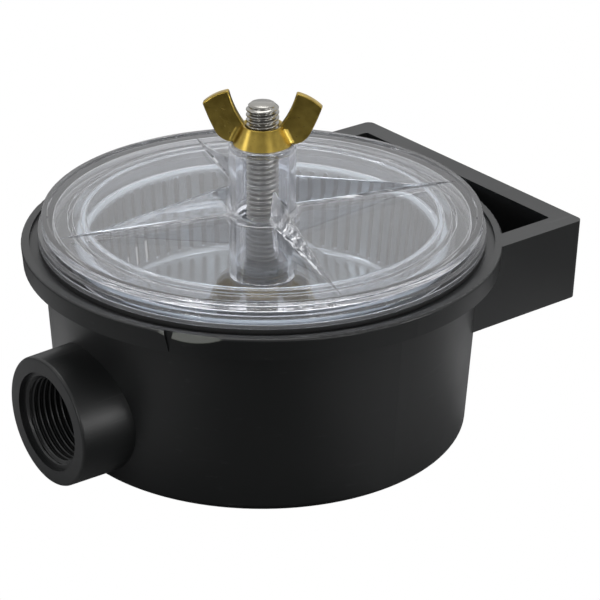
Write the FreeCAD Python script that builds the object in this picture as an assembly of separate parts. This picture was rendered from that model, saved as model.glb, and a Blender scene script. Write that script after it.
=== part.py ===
import FreeCAD, Part
import math
import os

from FreeCAD import Vector

# Raw-water strainer: a black moulded pot with a box bracket behind it, a clear lid held down by a brass wing nut on
# a stainless stud, and a slotted stainless basket inside.
# Millimetres. The origin is the centre of the pot's flat bottom, +Z runs up the stud, +Y points at the bracket's back
# plate, the inlet looks along -Y and the outlet along -X.

# Pot: outer skin
pot_height = 58.0  # flat bottom to the top face of the collar
pot_radius = 63.7  # outside of the wall, under the collar
pot_taper = 2.9  # the wall narrows downward by this much, as its mould needs
pot_wall = 4.1
pot_floor = 4.0
foot_round = 2.0
collar_width = 6.3
collar_height = 6.3
collar_draft = 0.5
collar_round = 0.6

# Pot: low lip that the lid and its gasket drop into
lip_width = 2.4
lip_height = 1.0

# Pot: centre post, hollow below its head, which holds the stud
post_radius = 13.4
post_wall = 3.0
post_ledge_width = 3.1  # the post's foot is wider, and the basket stands on it
post_shoulder_drop = 17.6  # top of the post's wall below the collar's top face
post_seat_drop = 15.4  # the shoulder slopes in and up to a flat seat
post_seat_width = 2.4
spigot_radius = 7.3
spigot_height = 6.6
spigot_chamfer = 0.7
seal_groove_depth = 1.5
seal_groove_height = 2.6
seal_groove_lift = 1.9  # from the seat to the groove's lower side
post_ceiling_drop = 20.4  # top of the bore below the collar's top face
window_width = 13.0  # four windows let the water out above the basket's floor
window_sill = 1.0  # above the collar round the basket's hole

# Pot: ports, for three-quarter-inch pipe thread
port_height = 20.1  # port axis above the flat bottom
port_length = 12.1  # the port's face stands out this far past the pot's radius
port_radius = 18.95
port_draft = 0.4
port_round = 0.8
port_bore_radius = 13.2  # roots of the thread
port_counterbore_width = 1.3
port_counterbore_depth = 1.4
port_recess_depth = 3.9  # the bores run on into the pot's wall, from its radius under the collar
port_recess_step = 0.4  # and are narrower there, as the thread tapers

# Pot: inlet channel, which leads under the basket to the post
channel_half_width = 13.0
channel_wall = 3.0
channel_roof = 2.0
channel_roof_gap = 0.7  # under the basket's floor
channel_mouth_half_width = 8.5
channel_mouth_height = 15.8

# Pot: mounting bracket, open above and below
bracket_half_width = 49.6
bracket_depth = 11.3  # collar to the back plate's outer face
bracket_height = 25.3
bracket_wall = 7.0
bracket_draft = 1.0  # the sides lean in this much towards the bottom
bracket_corner = 2.2
bracket_inner_corner = 0.8
screw_hole_radius = 3.3
screw_hole_inset = 11.6  # from the bracket's side

# Pot: scar of the moulding gate on the collar's top edge, and the notch at its end
gate_scar_angle = -53.3
gate_scar_depth = 0.7
gate_scar_height = 3.0
gate_notch_angle = -58.2
gate_notch_width = 2.6
gate_notch_depth = 0.9

# Lid: edge ring and plate
lid_gap = 0.55  # lid's underside above the collar's top face
lid_inset = 5.0  # from the collar's edge to the lid's
lid_step = 1.1  # the lid's side steps in above its wider foot
lid_step_lift = 3.2
lid_height = 7.2  # underside of the ring to the raised edge
lid_edge_width = 1.6
lid_edge_rise = 0.45
lid_edge_round = 0.5
lid_ring_width = 4.5
lid_plate = 2.9

# Lid: skirts over the basket's rim
skirt_side_gap = 0.4
skirt_top_gap = 0.3
skirt_wall = 1.15
skirt_overlap = 1.8  # the outer skirt reaches this far below the top of the basket's rim
inner_skirt_inset = 2.2  # from the outside of the basket's rim

# Lid: hub, a closed tube round the stud
hub_bore_gap = 0.45  # to the post's spigot
hub_wall = 2.0
hub_rise = 28.2  # hub's top above the collar's top face
hub_cap = 2.0
hub_hole_gap = 0.5  # to the stud
hub_top_round = 0.6
hub_base_fillet = 1.2
hub_collar_width = 1.4
hub_collar_height = 1.2
hub_foot_gap = 0.3

# Lid: four ribs from the hub to the edge
rib_count = 4
rib_angle = 73.2  # direction of the first rib, as the lid was put on
rib_hub_rise = 9.3  # ridge above the plate, at the hub
rib_knee_rise = 1.0
rib_knee_inset = 12.2  # from the bore of the lid's ring
rib_tip_gap = 0.4  # to the raised edge
rib_base_width = 3.0
rib_ridge_width = 0.8
rib_tip_width = 0.6

# Seals
gasket_side_gap = 0.6  # to the pot's bore
gasket_width = 4.6
seal_gap = 0.3  # centre seal to the hub's bore

# Stud, three-eighths inch
stud_radius = 4.76
stud_rise = 40.1  # stud's top above the collar's top face
stud_chamfer = 1.3
stud_foot_drop = 19.4  # stud's foot below the collar's top face

# Wing nut, forged brass
nut_seat_gap = 0.05
nut_bore_gap = 0.05
nut_base_radius = 8.6
nut_top_radius = 6.0
nut_boss_height = 5.5
nut_mouth_chamfer = 0.6
wing_height = 15.5  # foot of the nut to the wings' tops
wing_thickness = 2.4
wing_inner_reach = 9.7  # stud axis to a wing's inner top corner
wing_span_reach = 17.1
wing_foot_reach = 11.9
wing_outer_drop = 4.0  # outer corner of a wing below its inner corner
wing_bulge = 0.6
wing_corner_round = 0.5
wing_foot_round = 6.0  # a wing's lower edge sweeps into the boss's foot
wing_edge_round = 0.4
wing_web_width = 1.5  # webs between a wing's faces and the boss
wing_web_hollow = 0.25
wing_web_sink = 0.4  # depth of a web's root in the wing
wing_web_lift = 0.7  # the webs stop this far short of the boss's foot and top
wing_angle = 46.9  # direction of the wings, as the nut was left

# Basket, stainless sheet
sheet = 0.8
basket_rim_gap = 5.0  # from the rim to the pot's bore
basket_rim_width = 3.6  # the rim stands out this far from the basket's wall
basket_taper = 2.5  # the wall narrows downward by this much
basket_rim_drop = 1.3  # top of the rim below the collar's top face
basket_rim_roll = 1.7  # depth of the rim's turned-down edge
basket_drop = 29.3  # underside of the floor below the collar's top face
basket_corner = 3.0
basket_rim_bend = 1.0
basket_hole_gap = 0.5  # to the post
basket_hole_collar = 1.7
slot_count = 72
slot_width = 1.7
slot_top_drop = 2.7  # slots' upper ends below the collar's top face
slot_bottom_lift = 2.5  # slots' lower ends above the underside of the floor

# Levels and radii that follow
collar_top = pot_height
collar_bottom = collar_top - collar_height
pot_radius_foot = pot_radius - pot_taper
collar_radius = pot_radius + collar_width
lip_radius = collar_radius - lip_width
lip_floor = collar_top - lip_height
bore_radius = pot_radius - pot_wall
bore_radius_foot = pot_radius_foot - pot_wall
port_reach = pot_radius + port_length
bracket_reach = collar_radius + bracket_depth

basket_level = collar_top - basket_drop
basket_rim_top = collar_top - basket_rim_drop
basket_rim_radius = bore_radius - basket_rim_gap
basket_radius = basket_rim_radius - basket_rim_width
basket_radius_foot = basket_radius - basket_taper
basket_hole_radius = post_radius + basket_hole_gap

seat_level = collar_top - post_seat_drop
spigot_top = seat_level + spigot_height
post_ledge_radius = post_radius + post_ledge_width
post_bore = post_radius - post_wall
channel_ceiling = basket_level - channel_roof_gap - channel_roof

lid_foot = collar_top + lid_gap
lid_radius = collar_radius - lid_inset
lid_ring_bore = lid_radius - lid_ring_width
lid_upper_radius = lid_radius - lid_step
lid_edge_top = lid_foot + lid_height
plate_top = lid_edge_top - lid_edge_rise
plate_bottom = plate_top - lid_plate
hub_bore = spigot_radius + hub_bore_gap
hub_radius = hub_bore + hub_wall
hub_top = collar_top + hub_rise
hub_ceiling = hub_top - hub_cap
hub_foot = seat_level + hub_foot_gap
hub_hole_radius = stud_radius + hub_hole_gap
nut_foot = hub_top + nut_seat_gap

UP = Vector(0, 0, 1)
OUT = Vector(1, 0, 0)
ORIGIN = Vector(0, 0, 0)
INLET_ANGLE = -90
OUTLET_ANGLE = 180
TINY = 1e-4


def revolved(points):
    """Solid of revolution about Z, from the (radius, height) corners of its section."""
    corners = [Vector(radius, 0, height) for radius, height in points]
    section = Part.Face(Part.makePolygon(corners + [corners[0]]))
    return section.revolve(ORIGIN, UP, 360)


def ring(outer, inner, bottom, height):
    """Plain ring with a rectangular section."""
    body = Part.makeCylinder(outer, height, Vector(0, 0, bottom))
    return body.cut(Part.makeCylinder(inner, height, Vector(0, 0, bottom)))


def block(x_from, x_to, half_width, bottom, top):
    """Box along X, centred across Y."""
    return Part.makeBox(x_to - x_from, 2 * half_width, top - bottom, Vector(x_from, -half_width, bottom))


def turned(shape, angle):
    """A copy of the shape, turned about the Z axis."""
    copy = shape.copy()
    copy.rotate(ORIGIN, UP, angle)
    return copy


def circle_edges(shape, radius, level):
    """Edges of a shape that lie on one circle round the Z axis."""
    found = []
    for edge in shape.Edges:
        first, last = edge.ParameterRange
        points = [edge.valueAt(first + (last - first) * share) for share in (0, 0.3, 0.6, 1)]
        if all(abs(p.z - level) < TINY and abs(math.hypot(p.x, p.y) - radius) < TINY for p in points):
            found.append(edge)
    return found


def rounded(shape, radius, circle_radius, level):
    """The shape with the edge on one circle rounded off."""
    return shape.makeFillet(radius, circle_edges(shape, circle_radius, level))


def pot_skin():
    """Outside of the pot and its collar, still solid."""
    skin = revolved([
        (0, 0),
        (pot_radius_foot, 0),
        (pot_radius, collar_bottom),
        (collar_radius - collar_draft, collar_bottom),
        (collar_radius, collar_top),
        (0, collar_top),
    ])
    skin = rounded(skin, foot_round, pot_radius_foot, 0)
    return rounded(skin, collar_round, collar_radius, collar_top)


def pot_cavity():
    """Inside of the pot, up through the lip."""
    return revolved([
        (0, pot_floor),
        (bore_radius_foot, pot_floor),
        (bore_radius, lip_floor),
        (lip_radius, lip_floor),
        (lip_radius, collar_top),
        (0, collar_top),
    ])


def port():
    """One port along +X: a boss on the pot's wall, bored for its thread, with a counterbore at its mouth."""
    root = bore_radius_foot
    boss = Part.makeCone(port_radius + port_draft, port_radius, port_reach - root, Vector(root, 0, port_height), OUT)
    mouth = [edge for edge in boss.Edges if abs(edge.CenterOfMass.x - port_reach) < TINY]
    boss = boss.makeFillet(port_round, mouth)
    bore = Part.makeCylinder(port_bore_radius, port_reach - root, Vector(root, 0, port_height), OUT)
    seat = Vector(port_reach - port_counterbore_depth, 0, port_height)
    counterbore = Part.makeCylinder(port_bore_radius + port_counterbore_width, port_counterbore_depth, seat, OUT)
    return boss.cut([pot_skin(), bore, counterbore])


def upright_edges(shape, y_least):
    """Upright corner edges of a box, beyond a distance behind the pot."""
    found = []
    for edge in shape.Edges:
        box = edge.BoundBox
        if box.YMin > y_least and box.ZLength > bracket_height / 2:
            found.append(edge)
    return found


def bracket():
    """Three-sided frame behind the pot, with rounded corners, drafted sides and two screw holes."""
    bottom = collar_top - bracket_height
    foot_half = bracket_half_width - bracket_draft
    corners = [
        Vector(-foot_half, 0, bottom),
        Vector(foot_half, 0, bottom),
        Vector(bracket_half_width, 0, collar_top),
        Vector(-bracket_half_width, 0, collar_top),
    ]
    outline = Part.Face(Part.makePolygon(corners + [corners[0]]))
    outside = outline.extrude(Vector(0, bracket_reach, 0))
    outside = outside.makeFillet(bracket_corner, upright_edges(outside, bracket_reach / 2))
    inner_half = bracket_half_width - bracket_wall
    inner_reach = bracket_reach - bracket_wall
    inside = Part.makeBox(2 * inner_half, inner_reach, bracket_height, Vector(-inner_half, 0, bottom))
    inside = inside.makeFillet(bracket_inner_corner, upright_edges(inside, inner_reach / 2))
    holes = []
    for side in (-1, 1):
        place = side * (bracket_half_width - screw_hole_inset)
        start = Vector(place, inner_reach - bracket_wall, collar_top - bracket_height / 2)
        holes.append(Part.makeCylinder(screw_hole_radius, 3 * bracket_wall, start, Vector(0, 1, 0)))
    return outside.cut([inside, pot_skin(), *holes])


def centre_post():
    """Post from the pot's floor, still solid: a ledge for the basket, a sloping shoulder, and a grooved spigot."""
    groove_low = seat_level + seal_groove_lift
    groove_high = groove_low + seal_groove_height
    groove_radius = spigot_radius - seal_groove_depth
    return revolved([
        (0, pot_floor),
        (post_ledge_radius, pot_floor),
        (post_ledge_radius, basket_level),
        (post_radius, basket_level),
        (post_radius, collar_top - post_shoulder_drop),
        (spigot_radius + post_seat_width, seat_level),
        (spigot_radius, seat_level),
        (spigot_radius, groove_low),
        (groove_radius, groove_low),
        (groove_radius, groove_high),
        (spigot_radius, groove_high),
        (spigot_radius, spigot_top - spigot_chamfer),
        (spigot_radius - spigot_chamfer, spigot_top),
        (0, spigot_top),
    ])


def post_hollow():
    """Water's way through the post: in from the channel along +X, up the bore, and out of four windows."""
    ceiling = collar_top - post_ceiling_drop
    sill = basket_level + basket_hole_collar + window_sill
    bore = Part.makeCylinder(post_bore, ceiling - pot_floor, Vector(0, 0, pot_floor))
    inlet = block(0, post_ledge_radius + channel_wall, channel_mouth_half_width, pot_floor, channel_ceiling)
    windows = block(-2 * post_radius, 2 * post_radius, window_width / 2, sill, ceiling)
    return bore.fuse([inlet, windows, turned(windows, 90)])


def port_recess(inner_end):
    """What the bore of a port along +X takes out of the pot's wall."""
    radius = port_bore_radius - port_recess_step
    return Part.makeCylinder(radius, pot_radius - inner_end, Vector(inner_end, 0, port_height), OUT)


def inlet_mouth():
    """Opening from the inlet's recess into the channel, along +X."""
    low = channel_ceiling - channel_mouth_height
    return block(bore_radius_foot - pot_wall, pot_radius, channel_mouth_half_width, low, channel_ceiling)


def gate_scar():
    """Slanting sliver that is trimmed off the collar's edge, and the notch at its end."""
    lean = math.degrees(math.atan2(gate_scar_depth, gate_scar_height))
    start = Vector(collar_radius, -collar_radius, collar_top - gate_scar_height)
    sliver = Part.makeBox(collar_height, 2 * collar_radius, 2 * collar_height, start)
    sliver.rotate(start, Vector(0, 1, 0), -lean)
    half = gate_notch_width / 2
    depth = collar_radius - gate_notch_depth
    triangle = [Vector(depth, -half, collar_top), Vector(depth, half, collar_top), Vector(depth, 0, collar_bottom)]
    notch = Part.Face(Part.makePolygon(triangle + [triangle[0]])).extrude(Vector(2 * gate_notch_depth, 0, 0))
    return turned(sliver, gate_scar_angle), turned(notch, gate_notch_angle)


def housing():
    """Pot with its collar. The ports, the bracket, the post and the channel are moulded in one with it."""
    body = pot_skin().cut([
        pot_cavity(),
        turned(port_recess(pot_radius - port_recess_depth), INLET_ANGLE),
        turned(inlet_mouth(), INLET_ANGLE),
        turned(port_recess(bore_radius_foot - pot_wall), OUTLET_ANGLE),
        *gate_scar(),
    ])
    return body.removeSplitter()


def inlet_port():
    """The port at the front."""
    return turned(port(), INLET_ANGLE)


def outlet_port():
    """The port at the left."""
    return turned(port(), OUTLET_ANGLE)


def post():
    """Centre post on the pot's floor, which holds the stud and lets the water up into the basket."""
    stud_hole = Part.makeCylinder(stud_radius, stud_foot_drop, Vector(0, 0, collar_top - stud_foot_drop))
    return centre_post().cut([turned(post_hollow(), INLET_ANGLE), stud_hole]).removeSplitter()


def channel():
    """Walls and roof of the inlet channel, from the pot's wall to the post."""
    roof = channel_ceiling + channel_roof
    walls = block(0, pot_radius, channel_half_width + channel_wall, pot_floor, roof)
    walls = walls.cut(block(0, pot_radius, channel_half_width, pot_floor, channel_ceiling))
    walls = walls.cut(Part.makeCylinder(post_ledge_radius, pot_height))
    return turned(walls.common(pot_cavity()), INLET_ANGLE).removeSplitter()


def rib():
    """One rib of the lid along +X: its ridge falls to a knee, then runs out to a point at the raised edge."""
    root = plate_top - lid_plate / 2
    start = hub_radius - hub_wall / 2
    knee = lid_ring_bore - rib_knee_inset
    slope = (rib_hub_rise - rib_knee_rise) / (knee - hub_radius)
    tip = lid_upper_radius - lid_edge_width - lid_edge_rise - rib_tip_gap
    stations = [
        (start, rib_hub_rise + slope * (hub_radius - start), rib_base_width, rib_ridge_width),
        (knee, rib_knee_rise, rib_base_width, rib_ridge_width),
        (tip, TINY, rib_tip_width, rib_tip_width / 2),
    ]
    wires = []
    for radius, rise, base, ridge in stations:
        corners = [
            Vector(radius, -base / 2, root),
            Vector(radius, base / 2, root),
            Vector(radius, ridge / 2, plate_top + rise),
            Vector(radius, -ridge / 2, plate_top + rise),
        ]
        wires.append(Part.makePolygon(corners + [corners[0]]))
    return Part.makeLoft(wires[:2], True, True).fuse(Part.makeLoft(wires[1:], True, True))


def lid():
    """Clear moulding: edge ring, plate, two skirts, hub tube and ribs."""
    edge_inner = lid_upper_radius - lid_edge_width
    outer_skirt_bore = basket_rim_radius + skirt_side_gap
    outer_skirt_foot = basket_rim_top - skirt_overlap
    inner_skirt_radius = basket_rim_radius - inner_skirt_inset
    inner_skirt_foot = basket_rim_top + skirt_top_gap
    body = revolved([
        (hub_hole_radius, hub_top),
        (hub_radius, hub_top),
        (hub_radius, plate_top),
        (edge_inner - lid_edge_rise, plate_top),
        (edge_inner, lid_edge_top),
        (lid_upper_radius, lid_edge_top),
        (lid_upper_radius, lid_foot + lid_step_lift),
        (lid_radius, lid_foot + lid_step_lift),
        (lid_radius, lid_foot),
        (lid_ring_bore, lid_foot),
        (lid_ring_bore, plate_bottom),
        (outer_skirt_bore + skirt_wall, plate_bottom),
        (outer_skirt_bore + skirt_wall, outer_skirt_foot),
        (outer_skirt_bore, outer_skirt_foot),
        (outer_skirt_bore, plate_bottom),
        (inner_skirt_radius, plate_bottom),
        (inner_skirt_radius, inner_skirt_foot),
        (inner_skirt_radius - skirt_wall, inner_skirt_foot),
        (inner_skirt_radius - skirt_wall, plate_bottom),
        (hub_radius + hub_collar_width, plate_bottom),
        (hub_radius + hub_collar_width, plate_bottom - hub_collar_height),
        (hub_radius, plate_bottom - hub_collar_height),
        (hub_radius, hub_foot),
        (hub_bore, hub_foot),
        (hub_bore, hub_ceiling),
        (hub_hole_radius, hub_ceiling),
    ])
    body = rounded(body, hub_top_round, hub_radius, hub_top)
    body = rounded(body, hub_base_fillet, hub_radius, plate_top)
    body = rounded(body, lid_edge_round, lid_upper_radius, lid_edge_top)
    body = rounded(body, lid_edge_round, lid_radius, lid_foot + lid_step_lift)
    ribs = [turned(rib(), rib_angle + 360 / rib_count * index) for index in range(rib_count)]
    return body.fuse(ribs).removeSplitter()


def lid_gasket():
    """Flat rubber ring in the collar, under the lid's edge."""
    inner = bore_radius + gasket_side_gap
    return ring(inner + gasket_width, inner, lip_floor, lid_foot - lip_floor)


def centre_seal():
    """O-ring in the spigot's groove, inside the hub tube."""
    inner = spigot_radius - seal_groove_depth
    cord_radius = (hub_bore - seal_gap - inner) / 2
    level = seat_level + seal_groove_lift + seal_groove_height / 2
    return Part.makeTorus(inner + cord_radius, cord_radius, Vector(0, 0, level))


def stud():
    """Stainless stud, chamfered at its top, its foot moulded into the post."""
    foot = collar_top - stud_foot_drop
    top = collar_top + stud_rise
    return revolved([
        (0, foot),
        (stud_radius, foot),
        (stud_radius, top - stud_chamfer),
        (stud_radius - stud_chamfer, top),
        (0, top),
    ])


def curve(start, through, end):
    """Arc edge through three points of the XZ plane."""
    points = [Vector(x, 0, z) for x, z in (start, through, end)]
    return Part.Arc(*points).toShape()


def straight(start, end):
    """Straight edge in the XZ plane."""
    return Part.makeLine(Vector(start[0], 0, start[1]), Vector(end[0], 0, end[1]))


def between(start, end, bulge):
    """Point halfway between two, pushed out to the right of the way from start to end."""
    run = (end[0] - start[0], end[1] - start[1])
    length = math.hypot(*run)
    return ((start[0] + end[0]) / 2 + bulge * run[1] / length, (start[1] + end[1]) / 2 - bulge * run[0] / length)


def corner_edge(leaf, corner):
    """The edge across a wing's thickness at one corner of its outline."""
    for edge in leaf.Edges:
        place = edge.CenterOfMass
        if edge.BoundBox.YLength > TINY and math.hypot(place.x - corner[0], place.z - corner[1]) < TINY:
            return edge


def wing():
    """One wing along +X: a leaf that leans out of the boss, with its corners and edges rounded off."""
    top = nut_foot + wing_height
    start = (stud_radius + nut_bore_gap, nut_foot)
    root = (start[0], nut_foot + nut_boss_height - wing_edge_round)
    inner_top = (wing_inner_reach, top)
    outer_top = (wing_span_reach, top - wing_outer_drop)
    foot = (wing_foot_reach, nut_foot)
    outline = [
        curve(root, between(root, inner_top, wing_bulge), inner_top),
        curve(inner_top, between(inner_top, outer_top, -wing_bulge), outer_top),
        curve(outer_top, between(outer_top, foot, -wing_bulge / 2), foot),
        straight(foot, start),
        straight(start, root),
    ]
    leaf = Part.Face(Part.Wire(outline)).extrude(Vector(0, wing_thickness, 0))
    leaf.translate(Vector(0, -wing_thickness / 2, 0))
    leaf = leaf.makeFillet(wing_corner_round, [corner_edge(leaf, inner_top), corner_edge(leaf, outer_top)])
    leaf = leaf.makeFillet(wing_foot_round, [corner_edge(leaf, foot)])
    rims = [edge for edge in leaf.Edges if edge.BoundBox.YLength < TINY and edge.BoundBox.XMax > nut_top_radius]
    return leaf.makeFillet(wing_edge_round, rims)


def web(side):
    """Hollow web between one face of a wing and the boss, narrowing upward with the boss."""
    half = wing_thickness / 2
    inside = half - wing_web_sink
    taper = (nut_base_radius - nut_top_radius) / nut_boss_height
    wires = []
    for lift in (wing_web_lift, nut_boss_height - wing_web_lift):
        level = nut_foot + lift
        radius = nut_base_radius - taper * lift
        tip = math.sqrt(radius ** 2 - half ** 2) + wing_web_width
        flank = math.sqrt(radius ** 2 - (half + wing_web_width) ** 2)
        on_wing = Vector(tip, side * half, level)
        on_boss = Vector(flank, side * (half + wing_web_width), level)
        hollow = (on_wing + on_boss) * 0.5 - Vector(wing_web_hollow, side * wing_web_hollow, 0)
        root = Vector(flank - wing_web_width, side * inside, level)
        wires.append(Part.Wire([
            Part.makeLine(root, Vector(tip, side * inside, level)),
            Part.makeLine(Vector(tip, side * inside, level), on_wing),
            Part.Arc(on_wing, hollow, on_boss).toShape(),
            Part.makeLine(on_boss, root),
        ]))
    return Part.makeLoft(wires, True, True)


def wing_nut():
    """Forged brass nut: a tapered boss with two wings."""
    boss = Part.makeCone(nut_base_radius, nut_top_radius, nut_boss_height, Vector(0, 0, nut_foot))
    boss = rounded(boss, wing_edge_round, nut_top_radius, nut_foot + nut_boss_height)
    side = wing().fuse([web(-1), web(1)])
    body = boss.fuse([side, turned(side, 180)])
    bore = stud_radius + nut_bore_gap
    top = nut_foot + nut_boss_height
    mouth_start = Vector(0, 0, top - nut_mouth_chamfer)
    body = body.cut([
        Part.makeCylinder(bore, wing_height, Vector(0, 0, nut_foot)),
        Part.makeCone(bore, bore + nut_mouth_chamfer, nut_mouth_chamfer, mouth_start),
    ])
    return turned(body.removeSplitter(), wing_angle)


def basket():
    """Pressed stainless basket: slotted wall, rolled rim, and a floor with a collar round its centre hole."""
    wall_inner = basket_radius - sheet
    wall_inner_foot = basket_radius_foot - sheet
    floor_top = basket_level + sheet
    roll_foot = basket_rim_top - basket_rim_roll
    under_rim = basket_rim_top - sheet
    body = revolved([
        (basket_hole_radius, basket_level),
        (basket_radius_foot, basket_level),
        (basket_radius, under_rim),
        (basket_rim_radius - sheet, under_rim),
        (basket_rim_radius - sheet, roll_foot),
        (basket_rim_radius, roll_foot),
        (basket_rim_radius, basket_rim_top),
        (wall_inner, basket_rim_top),
        (wall_inner_foot, floor_top),
        (basket_hole_radius + sheet, floor_top),
        (basket_hole_radius + sheet, basket_level + basket_hole_collar),
        (basket_hole_radius, basket_level + basket_hole_collar),
    ])
    body = rounded(body, basket_corner, basket_radius_foot, basket_level)
    body = rounded(body, basket_corner - sheet, wall_inner_foot, floor_top)
    body = rounded(body, basket_rim_bend, wall_inner, basket_rim_top)
    body = rounded(body, basket_rim_bend, basket_rim_radius, basket_rim_top)
    low = basket_level + slot_bottom_lift
    high = collar_top - slot_top_drop
    slot = block(wall_inner_foot - basket_corner, basket_radius + sheet, slot_width / 2, low, high)
    return body.cut([turned(slot, 360 / slot_count * index) for index in range(slot_count)])


PIECES = {
    "housing": housing,
    "bracket": bracket,
    "inlet_port": inlet_port,
    "outlet_port": outlet_port,
    "post": post,
    "channel": channel,
    "basket": basket,
    "lid": lid,
    "lid_gasket": lid_gasket,
    "centre_seal": centre_seal,
    "stud": stud,
    "wing_nut": wing_nut,
}

os.makedirs("parts", exist_ok=True)
for name, make in PIECES.items():
    shape = make()
    shape.exportStep("parts/" + name + ".step")
    low = min(vertex.Z for vertex in shape.Vertexes)
    high = max(vertex.Z for vertex in shape.Vertexes)
    print(f"{name}: {len(shape.Solids)} solid, {shape.Volume / 1000:.2f} cm3, z {low:.2f} to {high:.2f}")
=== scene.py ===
# %% [markdown]
# # Raw-water strainer
#
# A boat's pump draws sea water through a pot like this one, and weed and grit stay in its slotted
# basket. The real one is a black moulded pot with a box bracket behind it. A clear lid shows how
# full the basket is, and a brass wing nut on a stainless stud holds the lid down.
#
# All of it could be modelled here by eye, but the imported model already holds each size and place.
# So this script keeps its solids and adds what they lack: the finishes, the threads, the slots'
# round ends, and the clear lid as one body.

import math

import bmesh
import bpy
from mathutils import Matrix, Vector


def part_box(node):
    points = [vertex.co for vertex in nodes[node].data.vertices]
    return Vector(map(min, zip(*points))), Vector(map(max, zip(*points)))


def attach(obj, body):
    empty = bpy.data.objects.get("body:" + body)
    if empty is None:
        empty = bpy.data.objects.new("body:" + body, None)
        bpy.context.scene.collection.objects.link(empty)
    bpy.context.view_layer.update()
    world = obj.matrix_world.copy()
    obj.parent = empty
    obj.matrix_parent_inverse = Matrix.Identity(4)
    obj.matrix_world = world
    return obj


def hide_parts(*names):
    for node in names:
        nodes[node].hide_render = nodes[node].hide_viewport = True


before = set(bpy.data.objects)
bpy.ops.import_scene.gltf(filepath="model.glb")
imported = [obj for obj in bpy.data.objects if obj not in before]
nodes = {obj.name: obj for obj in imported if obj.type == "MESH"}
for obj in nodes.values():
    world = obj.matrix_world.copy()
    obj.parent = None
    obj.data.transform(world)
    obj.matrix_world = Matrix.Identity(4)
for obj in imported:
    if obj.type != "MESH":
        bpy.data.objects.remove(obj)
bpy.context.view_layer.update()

# %% [markdown]
# ## Sizes that several pieces share
#
# Blender counts in metres, while a maker thinks of this strainer in millimetres, so a length is
# written as a number times MM. Every size could be typed in again, but a size that is read from a
# node's box can't drift away from that node. Only what a box can't say is written as a number,
# beside the piece that needs it.

# %% Shared sizes
MM = 0.001

lid_low, lid_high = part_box("lid")
basket_low, basket_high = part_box("basket")
stud_low, stud_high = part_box("stud")
collar_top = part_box("housing")[1][2]
stud_radius = stud_high[0]
print("collar's top at", round(collar_top / MM, 2), "mm")

# %% [markdown]
# ## Camera
#
# The photograph was taken with a long lens from the inlet's side, so the round rims are nearly true
# ellipses. A camera could be placed by eye, but then no outline would fall quite where the
# photograph has it. This one was solved from the outlines of the collar, lid, bracket and port.

# %% The camera's place and lens
view_azimuth = math.radians(51.853)
view_elevation = math.radians(25.70)
camera_roll = math.radians(0.52)
camera_distance = 688.9 * MM
camera_right = 10.94 * MM
camera_up = -19.73 * MM
sensor_width = 36.0
focal_length = 142.03
nearest_seen = 0.01
farthest_seen = 20
print("camera", round(camera_distance, 3), "m from the collar, lens", focal_length, "mm")


# %% Camera
def add_object(name, data):
    """Object for mesh, camera or light data, linked to the scene."""
    piece = bpy.data.objects.new(name, data)
    bpy.context.scene.collection.objects.link(piece)
    return piece


def make_camera():
    """Camera that looks at the collar's centre, moved sideways and down, with a slight roll."""
    forward = Vector((
        -math.sin(view_azimuth) * math.cos(view_elevation),
        math.cos(view_azimuth) * math.cos(view_elevation),
        -math.sin(view_elevation),
    ))
    level = Vector((math.cos(view_azimuth), math.sin(view_azimuth), 0))
    rise = level.cross(forward)
    right = level * math.cos(camera_roll) + rise * math.sin(camera_roll)
    up = rise * math.cos(camera_roll) - level * math.sin(camera_roll)
    aim = Vector((0, 0, collar_top))
    place = aim - forward * camera_distance + right * camera_right + up * camera_up
    data = bpy.data.cameras.new("camera")
    data.sensor_width = sensor_width
    data.lens = focal_length
    data.clip_start = nearest_seen
    data.clip_end = farthest_seen
    camera = add_object("camera", data)
    turn = Matrix((right, up, -forward)).transposed()
    camera.matrix_world = Matrix.Translation(place) @ turn.to_4x4()
    return camera


camera = make_camera()
bpy.context.scene.camera = camera
print("camera at", [round(value, 4) for value in camera.location])

# %% [markdown]
# ## Turned and moulded shapes
#
# Nearly all of this strainer is round and has small softened corners, as turned and moulded pieces
# have. Blender's Screw and Bevel modifiers could turn a line and round it, but a bevel rounds every
# corner alike. Here a section is a list of corners, each with a rounding of its own, as a drawing
# gives them, and a short helper turns it round the stud's axis. Weighted normals then keep a flat
# face flat beside a small rounding.


# %% From a mesh to a piece
def finish_mesh(mesh, name):
    """Mesh data with its faces turned outwards."""
    bmesh.ops.recalc_face_normals(mesh, faces=mesh.faces)
    data = bpy.data.meshes.new(name)
    mesh.to_mesh(data)
    mesh.free()
    return data


def smoothed(data, angle):
    """Gives mesh data smooth faces, with sharp edges above an angle in degrees."""
    data.shade_smooth()
    data.set_sharp_from_angle(angle=math.radians(angle))
    return data


def modified(piece, drop_parts=()):
    """Applies the modifiers of a piece to its mesh and removes the helper parts."""
    graph = bpy.context.evaluated_depsgraph_get()
    result = bpy.data.meshes.new_from_object(piece.evaluated_get(graph))
    piece.modifiers.clear()
    piece.data = result
    for part in drop_parts:
        bpy.data.objects.remove(part)
    return piece


def settled(piece, angle):
    """Smooths a piece up to an angle in degrees, and lets its large faces steer the shading."""
    smoothed(piece.data, angle)
    weights = piece.modifiers.new("weights", "WEIGHTED_NORMAL")
    weights.keep_sharp = True
    return modified(piece)


# %% Sections with rounded corners
corner_steps = 5


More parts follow.
